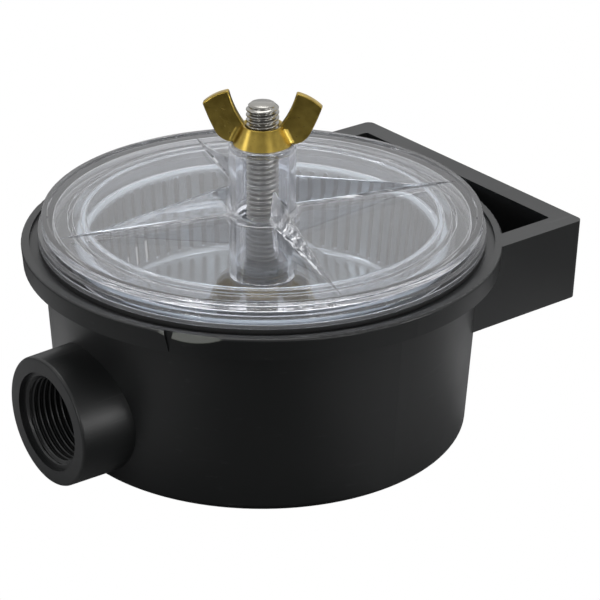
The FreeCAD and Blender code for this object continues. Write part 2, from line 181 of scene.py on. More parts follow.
def rounded_section(corners):
    """Points of a closed section, from (radius, height, rounding) corners."""
    points = []
    count = len(corners)
    for index, (radius, height, rounding) in enumerate(corners):
        here = Vector((radius, height))
        back = (Vector(corners[index - 1][:2]) - here).normalized()
        ahead = (Vector(corners[(index + 1) % count][:2]) - here).normalized()
        half = back.angle(ahead) / 2
        centre = here + (back + ahead).normalized() * rounding / math.sin(half)
        first = here + back * rounding / math.tan(half) - centre
        last = here + ahead * rounding / math.tan(half) - centre
        sweep = first.angle_signed(last)
        for step in range(corner_steps + 1):
            turn = Matrix.Rotation(-sweep * step / corner_steps, 2)
            points.append(centre + turn @ first)
    return points


print("a rounded corner has", corner_steps + 1, "points")


# %% Turning a section
def bridge(mesh, here, there):
    """Faces between two rings of vertices."""
    count = len(here)
    for index in range(count):
        after = (index + 1) % count
        mesh.faces.new((here[index], here[after], there[after], there[index]))


def place_round_axis(radius, angle, height):
    """Point at a radius, angle and height about the stud's axis."""
    return radius * math.cos(angle), radius * math.sin(angle), height


turned_segments = 360


def turned(name, section):
    """Closed ring-shaped mesh: the section is turned round the stud's axis."""
    mesh = bmesh.new()
    rings = []
    for index in range(turned_segments):
        angle = 2 * math.pi * index / turned_segments
        rings.append([mesh.verts.new(place_round_axis(p.x, angle, p.y)) for p in section])
    for here, there in zip(rings, rings[1:] + rings[:1]):
        bridge(mesh, here, there)
    return finish_mesh(mesh, name)


print("a turned piece has", turned_segments, "steps round the axis")

# %% [markdown]
# ## Clear lid: the round body
#
# The lid is one clear moulding: a stepped edge ring, a plate, two skirts that straddle the basket's
# rim, and a hub tube down to the post. Each could be an object of its own, but light would then
# bend at faces that the real moulding doesn't have, and the overlaps would show as dark lines. So
# the whole body is one section, drawn from the hub's top outwards and back along the underside.

# %% The lid's edge and plate
lid_radius = lid_high[0]
lid_foot = collar_top + 0.55 * MM
lid_step = 1.1 * MM
lid_step_lift = 3.2 * MM
lid_edge_top = lid_foot + 7.2 * MM
lid_edge_width = 1.6 * MM
lid_edge_rise = 0.45 * MM
lid_ring_width = 4.5 * MM
plate_top = lid_edge_top - lid_edge_rise
plate_bottom = plate_top - 2.9 * MM
lid_soft_corner = 0.45 * MM
lid_crisp_corner = 0.2 * MM
print("plate", round((plate_top - plate_bottom) / MM, 2), "mm thick")

# %% The lid's skirts and hub
skirt_wall = 1.15 * MM
outer_skirt_bore = basket_high[0] + 0.4 * MM
outer_skirt_foot = basket_high[2] - 1.8 * MM
inner_skirt_radius = 52.4 * MM
inner_skirt_foot = basket_high[2] + 0.3 * MM
hub_bore = 7.75 * MM
hub_radius = hub_bore + 2.0 * MM
hub_top = lid_high[2]
hub_ceiling = hub_top - 2.0 * MM
hub_foot = lid_low[2]
hub_hole_radius = stud_radius + 0.5 * MM
hub_top_round = 0.6 * MM
hub_fillet = 1.2 * MM
hub_collar_width = 1.4 * MM
hub_collar_height = 1.2 * MM
print("hub", round((hub_top - hub_foot) / MM, 2), "mm long")


# %% The lid's section
def lid_section():
    """Section of the lid, from the top of the hub outwards and back along the underside."""
    upper_radius = lid_radius - lid_step
    edge_inner = upper_radius - lid_edge_width
    step_top = lid_foot + lid_step_lift
    ring_bore = lid_radius - lid_ring_width
    collar_outer = hub_radius + hub_collar_width
    collar_bottom = plate_bottom - hub_collar_height
    soft, crisp = lid_soft_corner, lid_crisp_corner
    return rounded_section([
        (hub_hole_radius, hub_top, crisp),
        (hub_radius, hub_top, hub_top_round),
        (hub_radius, plate_top, hub_fillet),
        (edge_inner - lid_edge_rise, plate_top, crisp),
        (edge_inner, lid_edge_top, crisp),
        (upper_radius, lid_edge_top, soft),
        (upper_radius, step_top, crisp),
        (lid_radius, step_top, soft),
        (lid_radius, lid_foot, crisp),
        (ring_bore, lid_foot, crisp),
        (ring_bore, plate_bottom, soft),
        (outer_skirt_bore + skirt_wall, plate_bottom, soft),
        (outer_skirt_bore + skirt_wall, outer_skirt_foot, crisp),
        (outer_skirt_bore, outer_skirt_foot, crisp),
        (outer_skirt_bore, plate_bottom, soft),
        (inner_skirt_radius, plate_bottom, soft),
        (inner_skirt_radius, inner_skirt_foot, crisp),
        (inner_skirt_radius - skirt_wall, inner_skirt_foot, crisp),
        (inner_skirt_radius - skirt_wall, plate_bottom, soft),
        (collar_outer, plate_bottom, crisp),
        (collar_outer, collar_bottom, crisp),
        (hub_radius, collar_bottom, crisp),
        (hub_radius, hub_foot, crisp),
        (hub_bore, hub_foot, crisp),
        (hub_bore, hub_ceiling, soft),
        (hub_hole_radius, hub_ceiling, crisp),
    ])


print("lid's section:", len(lid_section()), "points")

# %% [markdown]
# ## Clear lid: the ribs
#
# Four ribs stiffen the plate. Each falls from high up the hub to a knee near the edge, and runs out
# from there to a point. A plain wedge would give the outline, but the bright line along the ridge
# comes from its rounding, and the soft foot from the fillets. So a rib is lofted through three
# sections that carry both, and a Boolean union melts it into the round body, which leaves one
# closed skin for the light to cross.

# %% The ribs' sizes
rib_count = 4
rib_turn = math.radians(73.2)
rib_hub_rise = 9.3 * MM
rib_hub_overlap = 1.0 * MM
rib_knee_rise = 1.0 * MM
rib_knee_radius = 48.3 * MM
rib_tip_radius = lid_radius - lid_step - lid_edge_width - lid_edge_rise - 0.4 * MM
rib_base_width = 3.0 * MM
rib_ridge_width = 0.8 * MM
rib_tip_width = 0.6 * MM
rib_tip_ridge_width = 0.02 * MM
rib_fillet = 0.5 * MM
rib_fillet_bends = ((0.35, 0.12), (0.06, 0.5))
rib_ridge_steps = 5
hair = 0.01 * MM
print("ribs run out at radius", round(rib_tip_radius / MM, 2), "mm")


# %% One rib
def rib_section(radius, rise, base, ridge):
    """Section of a rib at one distance from the axis: fillets on the plate and a rounded ridge."""
    root = (plate_top + plate_bottom) / 2
    bend = ridge / 2
    top = plate_top + max(rise, bend + hair) - bend
    fillet = min(rib_fillet, rise)
    flank = bend + (base / 2 - bend) * (top - plate_top) / (top - root)
    half = [(base / 2 + fillet, root), (flank + fillet, plate_top - hair)]
    for out, up in rib_fillet_bends:
        half.append((flank + fillet * out, plate_top + fillet * up))
    for step in range(rib_ridge_steps + 1):
        angle = math.pi * step / (2 * rib_ridge_steps)
        half.append((bend * math.cos(angle), top + bend * math.sin(angle)))
    mirrored = [(-across, height) for across, height in reversed(half[:-1])]
    return [Vector((radius, across, height)) for across, height in half + mirrored]


def rib_mesh(turn):
    """One rib: a blade that falls from the hub to a knee and runs out to a point."""
    start = hub_radius - rib_hub_overlap
    slope = (rib_hub_rise - rib_knee_rise) / (rib_knee_radius - hub_radius)
    start_rise = rib_hub_rise + slope * (hub_radius - start)
    stations = [
        (start, start_rise, rib_base_width, rib_ridge_width),
        (rib_knee_radius, rib_knee_rise, rib_base_width, rib_ridge_width),
        (rib_tip_radius, 0.0, rib_tip_width, rib_tip_ridge_width),
    ]
    mesh = bmesh.new()
    loops = [[mesh.verts.new(place) for place in rib_section(*station)] for station in stations]
    for here, there in zip(loops, loops[1:]):
        bridge(mesh, here, there)
    mesh.faces.new(loops[0])
    mesh.faces.new(reversed(loops[-1]))
    spin = Matrix.Rotation(turn, 3, "Z")
    bmesh.ops.rotate(mesh, cent=(0, 0, 0), matrix=spin, verts=mesh.verts)
    return finish_mesh(mesh, "rib")


print("ribs", round((rib_tip_radius - hub_radius) / MM, 2), "mm long from the hub")

# %% The whole lid
lid_smooth_angle = 28


def make_lid():
    """The clear lid as one closed mesh."""
    piece = add_object("lid_clear", turned("lid_clear", lid_section()))
    ribs = []
    for index in range(rib_count):
        rib = add_object("rib", rib_mesh(rib_turn + 2 * math.pi * index / rib_count))
        join = piece.modifiers.new("join", "BOOLEAN")
        join.operation = "UNION"
        join.solver = "EXACT"
        join.object = rib
        ribs.append(rib)
    return settled(modified(piece, ribs), lid_smooth_angle)


lid = make_lid()
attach(lid, "lid_body")
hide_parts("lid")
print("lid:", len(lid.data.polygons), "faces")

# %% [markdown]
# ## Threads
#
# The stud's thread is rolled and the ports' is moulded. A bump in the material could fake either,
# but the stud stands in profile against the white, where only real geometry shows its crests. A
# Screw modifier could wind a tooth round the axis, though it leaves a seam at each turn. The way
# here has no seam: the surface is a grid round the axis, and each vertex asks how far along the
# thread's pitch it lies and takes its radius from a rounded trapezium.

# %% A thread's form
thread_sharpness = 2.6


def thread_form(phase):
    """Depth of the thread at a share of its pitch: 0 at the crest and 1 at the root."""
    wave = 0.5 - 0.5 * math.cos(2 * math.pi * phase)
    low = math.tanh(-thread_sharpness / 2)
    return (math.tanh((wave - 0.5) * thread_sharpness) - low) / (-2 * low)


def thread_rings(mesh, low, high, pitch, radius_at, columns, rows_per_pitch):
    """Rings of vertices along a thread, from low to high, each bridged to the next."""
    rows = max(2, round((high - low) / pitch * rows_per_pitch))
    rings = []
    for row in range(rows + 1):
        height = low + (high - low) * row / rows
        ring = []
        for index in range(columns):
            share = index / columns
            radius = radius_at(height, height / pitch - share)
            ring.append(mesh.verts.new(place_round_axis(radius, 2 * math.pi * share, height)))
        rings.append(ring)
    for here, there in zip(rings, rings[1:]):
        bridge(mesh, here, there)
    return rings


print("thread's depth along its pitch:", [round(thread_form(share / 8), 2) for share in range(9)])

# %% [markdown]
# ### Stud
#
# Three-eighths-inch stud, sixteen threads to the inch, with a chamfer at its top where the thread
# fades out. The chamfer could be cut off afterwards, but it is simpler to let each vertex take the
# smaller of two radii, the thread's and the chamfer's.

# %% Stud
inch_in_mm = 25.4
stud_pitch = inch_in_mm / 16 * MM
stud_thread_depth = 0.92 * MM
stud_chamfer = 1.3 * MM
stud_chamfer_slope = 1.02
stud_columns = 84
stud_rows_per_pitch = 11
thread_smooth_angle = 60


def stud_mesh():
    """Stud with a rolled thread that fades into the chamfer at its top."""
    bottom, top = stud_low[2], stud_high[2]
    flat_radius = stud_radius - stud_chamfer

    def radius_at(height, phase):
        thread = stud_radius - stud_thread_depth * thread_form(phase % 1)
        return min(thread, flat_radius + (top - height) * stud_chamfer_slope)

    mesh = bmesh.new()
    rings = thread_rings(
        mesh, bottom, top, stud_pitch, radius_at, stud_columns, stud_rows_per_pitch
    )
    mesh.faces.new(rings[0])
    mesh.faces.new(rings[-1])
    return finish_mesh(mesh, "stud_threaded")


stud = add_object("stud_threaded", smoothed(stud_mesh(), thread_smooth_angle))
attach(stud, "housing_body")
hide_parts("stud")
print("stud:", len(stud.data.polygons), "faces")

# %% [markdown]
# ### Ports
#
# Each port takes a three-quarter-inch pipe thread, fourteen to the inch, whose first turn is opened
# so that a fitting finds its way in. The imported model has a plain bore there. It could be replaced
# by a whole new port, but a thin threaded sleeve just inside the bore is enough to hide it.

# %% The port threads' sizes
port_height = 20.1 * MM
port_reach = -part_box("outlet_port")[0][0]
port_bore = 13.2 * MM
port_counterbore_depth = 1.4 * MM
port_pitch = inch_in_mm / 14 * MM
port_thread_length = 13.2 * MM
port_thread_depth = 1.05 * MM
port_thread_lead = 1.2 * MM
port_columns = 120
port_rows_per_pitch = 12
sleeve_wall = 0.03 * MM
sleeve_gap_at_bore = 0.02 * MM
sleeve_gap_at_mouth = 0.05 * MM
sleeve_gap_at_end = 0.3 * MM
print("ports reach", round(port_reach / MM, 2), "mm from the axis")


# %% Port threads
def port_thread_mesh(direction):
    """Internal thread of one port, as a sleeve against its bore, with an opened first turn."""
    outer = port_bore - sleeve_gap_at_bore
    mouth = port_reach - port_counterbore_depth - sleeve_gap_at_mouth
    inner_end = mouth - port_thread_length + sleeve_gap_at_end

    def radius_at(height, phase):
        crest = outer - port_thread_depth * (1 - thread_form(phase % 1)) - sleeve_wall
        opening = max(0.0, mouth - height) * port_thread_depth / port_thread_lead
        return max(crest, outer - sleeve_wall - opening)

    mesh = bmesh.new()
    rings = thread_rings(
        mesh, inner_end, mouth, port_pitch, radius_at, port_columns, port_rows_per_pitch
    )
    angles = [2 * math.pi * index / port_columns for index in range(port_columns)]
    low, high = (
        [mesh.verts.new(place_round_axis(outer, angle, height)) for angle in angles]
        for height in (inner_end, mouth)
    )
    bridge(mesh, rings[-1], high)
    bridge(mesh, high, low)
    bridge(mesh, low, rings[0])
    lay = Matrix.Rotation(math.pi / 2, 4, "Y")
    lift = Matrix.Translation((0, 0, port_height))
    mesh.transform(Matrix.Rotation(direction, 4, "Z") @ lift @ lay)
    return finish_mesh(mesh, "port_thread")


port_threads = []
for port, direction in (("inlet", -math.pi / 2), ("outlet", math.pi)):
    sleeve = smoothed(port_thread_mesh(direction), thread_smooth_angle)
    thread = add_object(port + "_thread", sleeve)
    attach(thread, "housing_body")
    port_threads.append(thread)
    print(thread.name + ":", len(thread.data.polygons), "faces")

# %% [markdown]
# ## Basket
#
# The basket is thin stainless sheet: a wall that narrows downward, slotted all round, a floor with
# a collared hole for the post, and a rim rolled outwards to hang from. The slots could be cut with
# Booleans, seventy-two of them, but that is slow and leaves long thin faces. Instead the sheet's
# middle surface is a grid of columns that leaves the slots open, with their ends pulled round, and
# a Solidify modifier then gives the sheet its thickness to both sides.

# %% The basket's sizes
sheet = 0.8 * MM
basket_level = basket_low[2]
basket_rim_top = basket_high[2]
basket_rim_radius = basket_high[0]
basket_radius = 51.0 * MM
basket_taper = 2.5 * MM
basket_corner = 3.0 * MM
basket_corner_shift = 0.25 * MM
basket_rim_bend = 1.0 * MM
basket_rim_roll = 1.7 * MM
basket_hole_radius = 13.9 * MM
basket_hole_collar = 1.7 * MM
basket_hole_bend = 0.7 * MM
basket_floor_rings = (20, 28, 36, 41)
slot_count = 72
slot_width = 1.7 * MM
slot_top = collar_top - 2.7 * MM
slot_high_end = slot_top - slot_width / 2
slot_low_end = basket_level + 3.35 * MM
print("slots", round((slot_high_end - slot_low_end) / MM, 2), "mm between their round ends")


# %% Arcs and the basket's wall
def arc_points(centre, radius, start, end, steps):
    """Points along an arc of a section. Angles in degrees."""
    points = []
    for step in range(steps + 1):
        angle = math.radians(start + (end - start) * step / steps)
        across, up = radius * math.cos(angle), radius * math.sin(angle)
        points.append((centre[0] + across, centre[1] + up))
    return points


def wall_radius(height):
    """Middle of the basket's wall at a height. The wall narrows downward."""
    fall, whole = basket_rim_top - height, basket_rim_top - basket_level
    return basket_radius - sheet / 2 - basket_taper * fall / whole


print("wall's radius at the floor:", round(wall_radius(basket_level) / MM, 2), "mm")


# %% The sheet's middle line
def basket_profile():
    """Middle line of the sheet, from the hole's collar over the floor and up to the rolled rim."""
    half = sheet / 2
    floor = basket_level + half
    hole = basket_hole_radius + half
    corner = basket_corner - half
    corner_place = (wall_radius(floor) - corner + basket_corner_shift, floor + corner)
    bend = basket_rim_bend
    bend_height = basket_rim_top - half - bend
    edge = basket_rim_radius - half
    points = [(hole, basket_level + basket_hole_collar)]
    hole_place = (hole + basket_hole_bend, floor + basket_hole_bend)
    points += arc_points(hole_place, basket_hole_bend, start=180, end=270, steps=4)
    points += [(radius * MM, floor) for radius in basket_floor_rings]
    points += arc_points(corner_place, corner, start=270, end=355, steps=8)
    for height in (slot_low_end, slot_high_end, slot_top):
        points.append((wall_radius(height), height))
    inner_place = (wall_radius(bend_height) + bend, bend_height)
    points += arc_points(inner_place, bend, start=180, end=90, steps=4)
    points += arc_points((edge - bend, bend_height), bend, start=90, end=0, steps=4)
    points += [(edge, basket_rim_top - basket_rim_roll)]
    return points


print("sheet's middle line:", len(basket_profile()), "points")

# %% The sheet's columns
steps_across_slot = 6
steps_across_land = 3


def basket_columns():
    """Columns of the grid: an angle, and for a slot's columns the offset from its middle."""
    pitch = 2 * math.pi / slot_count
    half_slot = slot_width / 2 / wall_radius(slot_high_end)
    land = pitch - 2 * half_slot
    columns = []
    for index in range(slot_count):
        for step in range(steps_across_slot + 1):
            offset = -half_slot + 2 * half_slot * step / steps_across_slot
            columns.append((index * pitch + offset, offset))
        for step in range(1, steps_across_land):
            offset = half_slot + land * step / steps_across_land
            columns.append((index * pitch + offset, None))
    return columns, half_slot


columns, half_slot = basket_columns()
print("columns round the basket:", len(columns))


# %% The slotted sheet
def basket_sheet():
    """The basket's middle surface with its slots left open."""
    profile = basket_profile()
    low_row = profile.index((wall_radius(slot_low_end), slot_low_end))
    high_row = profile.index((wall_radius(slot_high_end), slot_high_end))
    mesh = bmesh.new()
    grid = []
    for angle, offset in columns:
        strip = []
        for row, (radius, height) in enumerate(profile):
            if offset is not None and row in (low_row, high_row):
                bulge = slot_width / 2 * math.sqrt(max(0.0, 1 - (offset / half_slot) ** 2))
                height += bulge if row == high_row else -bulge
                radius = wall_radius(height)
            strip.append(mesh.verts.new(place_round_axis(radius, angle, height)))
        grid.append(strip)
    for index, here in enumerate(grid):
        after = (index + 1) % len(grid)
        there = grid[after]
        slotted = columns[index][1] is not None and columns[after][1] is not None
        for row in range(len(profile) - 1):
            if not (slotted and low_row <= row < high_row):
                mesh.faces.new((here[row], there[row], there[row + 1], here[row + 1]))
    return finish_mesh(mesh, "basket_sheet")


open_sheet = basket_sheet()
print("sheet before its thickness:", len(open_sheet.polygons), "faces")

# %% Basket
sheet_share = 0.98
basket_smooth_angle = 35


def make_basket():
    """The basket's slotted sheet with its thickness."""
    piece = add_object("basket_sheet", open_sheet)
    thick = piece.modifiers.new("thickness", "SOLIDIFY")
    thick.thickness = sheet * sheet_share
    thick.offset = 0
    return settled(modified(piece), basket_smooth_angle)


basket = make_basket()
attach(basket, "basket_body")
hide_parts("basket")
print("basket:", len(basket.data.polygons), "faces")

# %% [markdown]
# ## Finishes
#
# A finish is a small network of nodes. It could be drawn by hand in Blender's shader editor, but
# what several finishes share would then be drawn again for each. So a shared effect is made once,
# as a node group, and each finish places it with values of its own. What is the same all over a
# surface is set on the shader itself.


# %% Node groups
def new_group(name, inputs, outputs):
    """Shader node group with float inputs and the outputs given as (name, socket type)."""
    tree = bpy.data.node_groups.new(name, "ShaderNodeTree")
    for label, value in inputs:
        socket = tree.interface.new_socket(label, in_out="INPUT", socket_type="NodeSocketFloat")
        socket.default_value = value
    for label, kind in outputs:
        tree.interface.new_socket(label, in_out="OUTPUT", socket_type=kind)
    return tree, tree.nodes.new("NodeGroupInput"), tree.nodes.new("NodeGroupOutput")


def set_inputs(node, values):
    """Sets a node's inputs of the given names."""
    for label, value in values.items():
        node.inputs[label].default_value = value


def add_group(tree, group, **values):
    """A use of a node group, with some of its inputs set."""
    node = tree.nodes.new("ShaderNodeGroup")
    node.node_tree = group
    set_inputs(node, values)
    return node


def feed(tree, node, sources):
    """Links outputs to a node's inputs of the given names."""
    for label, source in sources.items():
        tree.links.new(source, node.inputs[label])


print("node groups so far:", len(bpy.data.node_groups))

# %% [markdown]
# ## Shared effect: fine grain
#
# Moulded nylon, rolled steel and forged brass all break up a reflection a little. A picture of
# grain could be wrapped round each piece, but it would need unwrapping and would show its seams.
# Noise in the piece's own coordinates has neither fault. The group takes a scale, a height and a
# strength, and puts out a normal.


# %% Fine grain
def own_place(tree):
    """The point of a piece that is being shaded, in the piece's own coordinates."""
    return tree.nodes.new("ShaderNodeTexCoord").outputs["Object"]


def noise(tree, place, scale, detail):
    """Noise over a place, whose scale comes from another node."""
    node = tree.nodes.new("ShaderNodeTexNoise")
    node.inputs["Detail"].default_value = detail
    feed(tree, node, {"Vector": place, "Scale": scale})
    return node


grain_detail = 3.0


def grain_group():
    """Fine surface grain, as a normal."""
    tree, given, result = new_group(
        "surface_grain",
        [("Scale", 1500.0), ("Height", 0.00002), ("Strength", 0.3)],
        [("Normal", "NodeSocketVector")],
    )
    grain = noise(tree, own_place(tree), given.outputs["Scale"], grain_detail).outputs["Fac"]
    bump = tree.nodes.new("ShaderNodeBump")
    height, strength = given.outputs["Height"], given.outputs["Strength"]
    feed(tree, bump, {"Distance": height, "Strength": strength, "Height": grain})
    feed(tree, result, {"Normal": bump.outputs["Normal"]})
    return tree


grain_effect = grain_group()
print("node group:", grain_effect.name)

# %% [markdown]
# ## Shared effect: handling wear
#
# A strainer that has been handled is never evenly glossy: broad patches are duller, and thin scuffs
# run mostly one way. Both could be painted on by hand, but a group that puts out two masks serves
# the black plastic, the brass, the steel and the rubber alike. The scuffs are noise stretched
# along one direction and cut off high, so that only its peaks are left as marks.

# %% The scuffs' marks
scuff_detail = 5.0
scuff_roughness = 0.7
scuff_stretch = (1.0, 0.12, 2.5)
scuff_slant = (0.2, 0.4, 0.9)
scuff_starts = 0.62
scuff_full = 0.74


def remap(tree, value, low, high, to_low=0.0, to_high=1.0):
    """Linear remap of a value, clamped. Without an aim of its own it gives a mask."""
    node = tree.nodes.new("ShaderNodeMapRange")
    set_inputs(node, {"From Min": low, "From Max": high, "To Min": to_low, "To Max": to_high})
    tree.links.new(value, node.inputs["Value"])
    return node.outputs["Result"]


print("scuffs are where the noise is above", scuff_starts)

# %% Handling wear
patch_detail = 4.0


def wear_group():
    """Broad uneven patches, and thin scuffs that run one way."""
    tree, given, result = new_group(
        "handling_wear",
        [("Patch scale", 28.0), ("Scuff scale", 220.0)],
        [("Patches", "NodeSocketFloat"), ("Scuffs", "NodeSocketFloat")],
    )
    place = own_place(tree)
    patches = noise(tree, place, given.outputs["Patch scale"], patch_detail)
    stretch = tree.nodes.new("ShaderNodeMapping")
    set_inputs(stretch, {"Scale": scuff_stretch, "Rotation": scuff_slant})
    tree.links.new(place, stretch.inputs["Vector"])
    scuffs = noise(tree, stretch.outputs["Vector"], given.outputs["Scuff scale"], scuff_detail)
    scuffs.inputs["Roughness"].default_value = scuff_roughness
    marks = remap(tree, scuffs.outputs["Fac"], scuff_starts, scuff_full)
    feed(tree, result, {"Patches": patches.outputs["Fac"], "Scuffs": marks})
    return tree


wear_effect = wear_group()
print("node group:", wear_effect.name)

# %% [markdown]
# ## Finish: black moulding
#
# The pot, the bracket, the ports and the post are one moulding in glass-filled nylon, near black
# and semi-matt. One dark colour would make it look like a toy. The real surface has fine grain, a
# gloss that changes slowly and a few pale scuffs. On the front of the collar's top edge a paler
# patch is painted in: a painted highlight where that edge would catch the light. The patch lies on
# a leaning plane of its own, and the distance from that plane picks it out.

# %% Painted highlight on the collar's edge
collar_radius = 70.0 * MM
painted_highlight_angle = math.radians(-53.3)
painted_highlight_depth = 0.7 * MM
painted_highlight_height = 3.0 * MM
painted_highlight_starts = 0.09 * MM
painted_highlight_full = 0.03 * MM


def vector_math(tree, operation, place, second=None):
    """A vector operation on a place, with a fixed second vector where it takes one."""
    node = tree.nodes.new("ShaderNodeVectorMath")
    node.operation = operation
    tree.links.new(place, node.inputs[0])
    if second is not None:
        node.inputs[1].default_value = second
    return node


def painted_highlight_mask(tree):
    """1 on the painted highlight at the front of the collar's top edge, which leans on its own
    plane.
    """
    slope = painted_highlight_depth / painted_highlight_height
    leaning = (math.cos(painted_highlight_angle), math.sin(painted_highlight_angle), slope)
    plane = vector_math(tree, "DOT_PRODUCT", own_place(tree), leaning)
    level = collar_radius + slope * (collar_top - painted_highlight_height)
    low, high = level - painted_highlight_starts, level - painted_highlight_full
    return remap(tree, plane.outputs["Value"], low, high)


print("painted highlight", round(painted_highlight_height / MM, 2), "mm high")


# %% A material and its colours
def new_material(name):
    """Material with an empty tree and its Principled shader."""
    material = bpy.data.materials.new(name)
    material.use_nodes = True
    tree = material.node_tree
    tree.nodes.clear()
    output = tree.nodes.new("ShaderNodeOutputMaterial")
    shader = tree.nodes.new("ShaderNodeBsdfPrincipled")
    tree.links.new(shader.outputs["BSDF"], output.inputs["Surface"])
    return material, tree, shader, output


def mix_colours(tree, mask, first, second):
    """Mix of two colours by a mask."""
    node = tree.nodes.new("ShaderNodeMix")
    node.data_type = "RGBA"
    set_inputs(node, {"A": (*first, 1), "B": (*second, 1)})
    tree.links.new(mask, node.inputs["Factor"])
    return node.outputs["Result"]


print("materials so far:", len(bpy.data.materials))

# %% Black moulding
patches_low = 0.3
patches_high = 0.7
nylon_black = (0.0072, 0.0078, 0.0080)
nylon_scuffed = (0.020, 0.021, 0.022)
# painted highlight: a paler grey on the collar's top edge, where light would catch it
painted_highlight_grey = (0.062, 0.068, 0.056)
nylon_gloss = (0.34, 0.44)
nylon_index = 1.5


def black_plastic():
    """Near-black moulded nylon: semi-matt, with grain, uneven gloss, scuffs and a painted highlight.
    """
    material, tree, shader, _ = new_material("black_nylon")
    wear = add_group(tree, wear_effect)
    grain = add_group(tree, grain_effect, Scale=1400.0, Height=0.00003, Strength=0.25)
    colour = mix_colours(tree, wear.outputs["Scuffs"], nylon_black, nylon_scuffed)
    # the painted highlight is mixed in on the collar's top edge
    highlighted = mix_colours(tree, painted_highlight_mask(tree), nylon_black, painted_highlight_grey)
    tree.links.new(colour, highlighted.node.inputs["A"])
    gloss = remap(tree, wear.outputs["Patches"], patches_low, patches_high, *nylon_gloss)
    normal = grain.outputs["Normal"]
    feed(tree, shader, {"Base Color": highlighted, "Roughness": gloss, "Normal": normal})
    shader.inputs["IOR"].default_value = nylon_index
    return material


black = black_plastic()
print("material:", black.name)


# %% The moulding dressed
def dress_nodes(names, material):
    """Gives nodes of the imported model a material, in the slots they have."""
    for name in names:
        for slot in nodes[name].material_slots:
            slot.material = material


def dress(piece, material):
    """Gives the whole piece one material."""
    piece.data.materials.clear()
    piece.data.materials.append(material)


dress_nodes(("housing", "bracket", "inlet_port", "outlet_port", "post", "channel"), black)
for thread in port_threads:
    dress(thread, black)
print("black moulding on six nodes and", len(port_threads), "threads")

# %% [markdown]
# ## Finish: stainless steel
#
# The stud is bright rolled steel, and the basket is pressed sheet with a cooler cast. Both could be
# a plain metal with one roughness, but polish is never even, so the patches of wear move the
# roughness and darken the colour a little. The basket's rim is rubbed by the lid's skirts each time
# it is opened, and only its top fraction of a millimetre is duller, found by its height.

# %% Stainless steel
steel_patch_scale = 60.0
steel_shade = 0.86
rim_dulling_starts = 0.6 * MM
rim_dulling_full = 0.2 * MM


def stainless(name, colour, gloss, rim_dulling=0.0):
    """Stainless steel with a fine grain and uneven polish. A basket's rim can be duller."""
    material, tree, shader, _ = new_material(name)
    wear = add_group(tree, wear_effect, **{"Patch scale": steel_patch_scale})
    grain = add_group(tree, grain_effect, Scale=2200.0, Height=0.00001, Strength=0.15)
    shader.inputs["Metallic"].default_value = 1.0
    shaded = tuple(value * steel_shade for value in colour)
    steel = mix_colours(tree, wear.outputs["Patches"], colour, shaded)
    rough = remap(tree, wear.outputs["Patches"], patches_low, patches_high, *gloss)
    split = tree.nodes.new("ShaderNodeSeparateXYZ")
    tree.links.new(own_place(tree), split.inputs["Vector"])
    low, high = basket_rim_top - rim_dulling_starts, basket_rim_top - rim_dulling_full
    rim = remap(tree, split.outputs["Z"], low, high, 0.0, rim_dulling)
    total = tree.nodes.new("ShaderNodeMath")
    tree.links.new(rough, total.inputs[0])
    tree.links.new(rim, total.inputs[1])
    dulled, normal = total.outputs["Value"], grain.outputs["Normal"]
    feed(tree, shader, {"Base Color": steel, "Roughness": dulled, "Normal": normal})
    return material


stud_colour = (0.37, 0.36, 0.335)
stud_gloss = (0.24, 0.32)
basket_colour = (0.41, 0.445, 0.465)
basket_gloss = (0.16, 0.26)
dress(stud, stainless("stud_steel", stud_colour, stud_gloss))
dress(basket, stainless("basket_steel", basket_colour, basket_gloss, rim_dulling=0.35))
print("steel:", stud.data.materials[0].name, "and", basket.data.materials[0].name)

# %% [markdown]
# ## Finish: seals
#
# The lid's gasket and the O-ring in the post are black nitrile rubber. It could share the black of
# the moulding, but rubber is duller and carries a faint pale bloom, so it gets a rough surface and
# patches between two near-blacks.

# %% Seals
rubber_black = (0.010, 0.010, 0.010)
rubber_bloom = (0.018, 0.018, 0.019)
rubber_roughness = 0.62


def rubber():
    """Matt black rubber with a faint bloom."""
    material, tree, shader, _ = new_material("seal_rubber")
    wear = add_group(tree, wear_effect, **{"Patch scale": 90.0})
    grain = add_group(tree, grain_effect, Scale=900.0, Height=0.00004, Strength=0.3)
    colour = mix_colours(tree, wear.outputs["Patches"], rubber_black, rubber_bloom)
    feed(tree, shader, {"Base Color": colour, "Normal": grain.outputs["Normal"]})
    shader.inputs["Roughness"].default_value = rubber_roughness
    return material


seals = rubber()
dress_nodes(("lid_gasket", "centre_seal"), seals)
print("seals in", seals.name)

# %% [markdown]
# ## Finish: brass
#
# The wing nut is forged brass that has gone olive with age. Bright yellow metal would be the quick
# way, but it looks like a new coin. Two dull golds are mixed by small patches, and the scuffs,
# where handling has polished it, are glossier.

# %% Brass
brass_gold = (0.52, 0.375, 0.085)
brass_olive = (0.36, 0.255, 0.055)
brass_roughness = 0.30
brass_polished = 0.20
brass_patches_low = 0.35
brass_patches_high = 0.65


def brass():
    """Forged brass, olive-gold, with darker patches and brighter scuffs."""
    material, tree, shader, _ = new_material("forged_brass")
    wear = add_group(tree, wear_effect, **{"Patch scale": 260.0, "Scuff scale": 700.0})
    grain = add_group(tree, grain_effect, Scale=2600.0, Height=0.00002, Strength=0.35)
    shader.inputs["Metallic"].default_value = 1.0
    patches = remap(tree, wear.outputs["Patches"], brass_patches_low, brass_patches_high)
    colour = mix_colours(tree, patches, brass_gold, brass_olive)
    gloss = remap(tree, wear.outputs["Scuffs"], 0.0, 1.0, brass_roughness, brass_polished)
    normal = grain.outputs["Normal"]
    feed(tree, shader, {"Base Color": colour, "Roughness": gloss, "Normal": normal})
    return material


dress_nodes(("wing_nut",), brass())
print("wing nut in", nodes["wing_nut"].material_slots[0].material.name)

